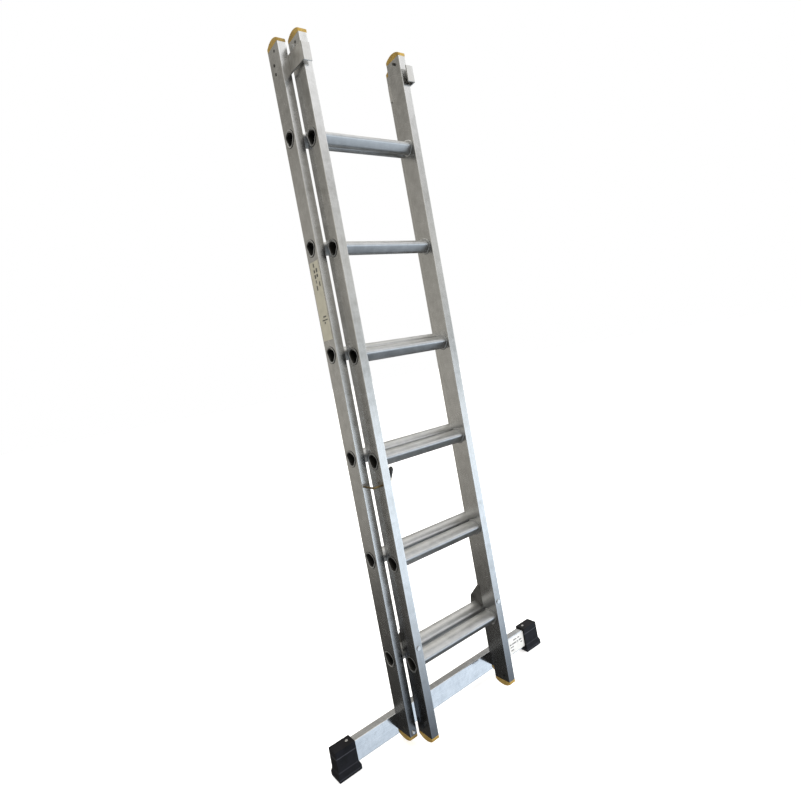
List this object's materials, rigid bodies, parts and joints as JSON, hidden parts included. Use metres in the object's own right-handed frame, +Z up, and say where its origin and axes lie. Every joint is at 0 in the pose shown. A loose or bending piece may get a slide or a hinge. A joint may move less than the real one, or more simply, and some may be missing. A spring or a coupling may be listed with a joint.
{
  "type": "extension ladder",
  "caption": "Push-up extension ladder, closed: box-section aluminium stiles, D-shaped rungs, domed plastic caps, guide brackets, rung hooks and a stabiliser bar with rubber feet.",
  "frame": {"origin": "on the plane of the stabiliser feet's soles, midway between the two soles", "axes": "+X to the right when facing the climbing side, +Y from the climbing side towards the wall side, +Z up along the stiles; in use the whole ladder leans so that its top goes towards +Y"},
  "size_m": [0.804, 0.1555, 1.8955],
  "materials": {
    "stile_alu": "satin mill-finish extrusion, fine drawing lines along the stile",
    "rung_alu": "satin extrusion with a slightly crowned tread",
    "bar_alu": "bright satin extrusion",
    "bracket_alu": "satin sheet",
    "hook_alu": "matte casting",
    "fastener_steel": "semi-gloss",
    "cap_plastic": "satin moulded plastic, mustard yellow",
    "foot_rubber": "matte black moulded rubber",
    "latch_zinc": "yellow-passivated wire, semi-gloss",
    "grip_plastic": "black dipped plastic",
    "label_film": null
  },
  "bodies": {
    "base": {"base_stile_l": "stile_alu", "base_stile_r": "stile_alu", "base_rung_1": "rung_alu", "base_rung_2": "rung_alu", "base_rung_3": "rung_alu", "base_rung_4": "rung_alu", "base_rung_5": "rung_alu", "base_rung_6": "rung_alu", "base_cap_top_l": "cap_plastic", "base_cap_top_r": "cap_plastic", "base_cap_foot_l": "cap_plastic", "base_cap_foot_r": "cap_plastic", "base_cap_pins": "fastener_steel", "guide_bracket_l": "bracket_alu", "guide_bracket_r": "bracket_alu", "bracket_rivets": "fastener_steel", "stabiliser_bar": "bar_alu", "stabiliser_bolts": "fastener_steel", "stabiliser_nuts": "fastener_steel", "foot_l": "foot_rubber", "foot_r": "foot_rubber", "foot_rivets": "fastener_steel", "base_label": "label_film", "bar_label": "label_film"},
    "fly": {"fly_stile_l": "stile_alu", "fly_stile_r": "stile_alu", "fly_rung_1": "rung_alu", "fly_rung_2": "rung_alu", "fly_rung_3": "rung_alu", "fly_rung_4": "rung_alu", "fly_rung_5": "rung_alu", "fly_rung_6": "rung_alu", "fly_cap_top_l": "cap_plastic", "fly_cap_top_r": "cap_plastic", "fly_cap_foot_l": "cap_plastic", "fly_cap_foot_r": "cap_plastic", "fly_cap_pins": "fastener_steel", "hook_l": "hook_alu", "hook_r": "hook_alu", "hook_rivets": "fastener_steel"},
    "latch": {"latch_rod": "latch_zinc", "latch_grip": "grip_plastic"}
  },
  "joints": [
    {"name": "fly_slide", "type": "slide", "parent": "base", "child": "fly", "axis": [0, 0, 1], "range_m": [0, 0.84]},
    {"name": "latch_turn", "type": "hinge", "parent": "fly", "child": "latch", "pos_m": [-0.1535, -0.1045, 0.73], "axis": [1, 0, 0], "range_deg": [0, 90]}
  ]
}
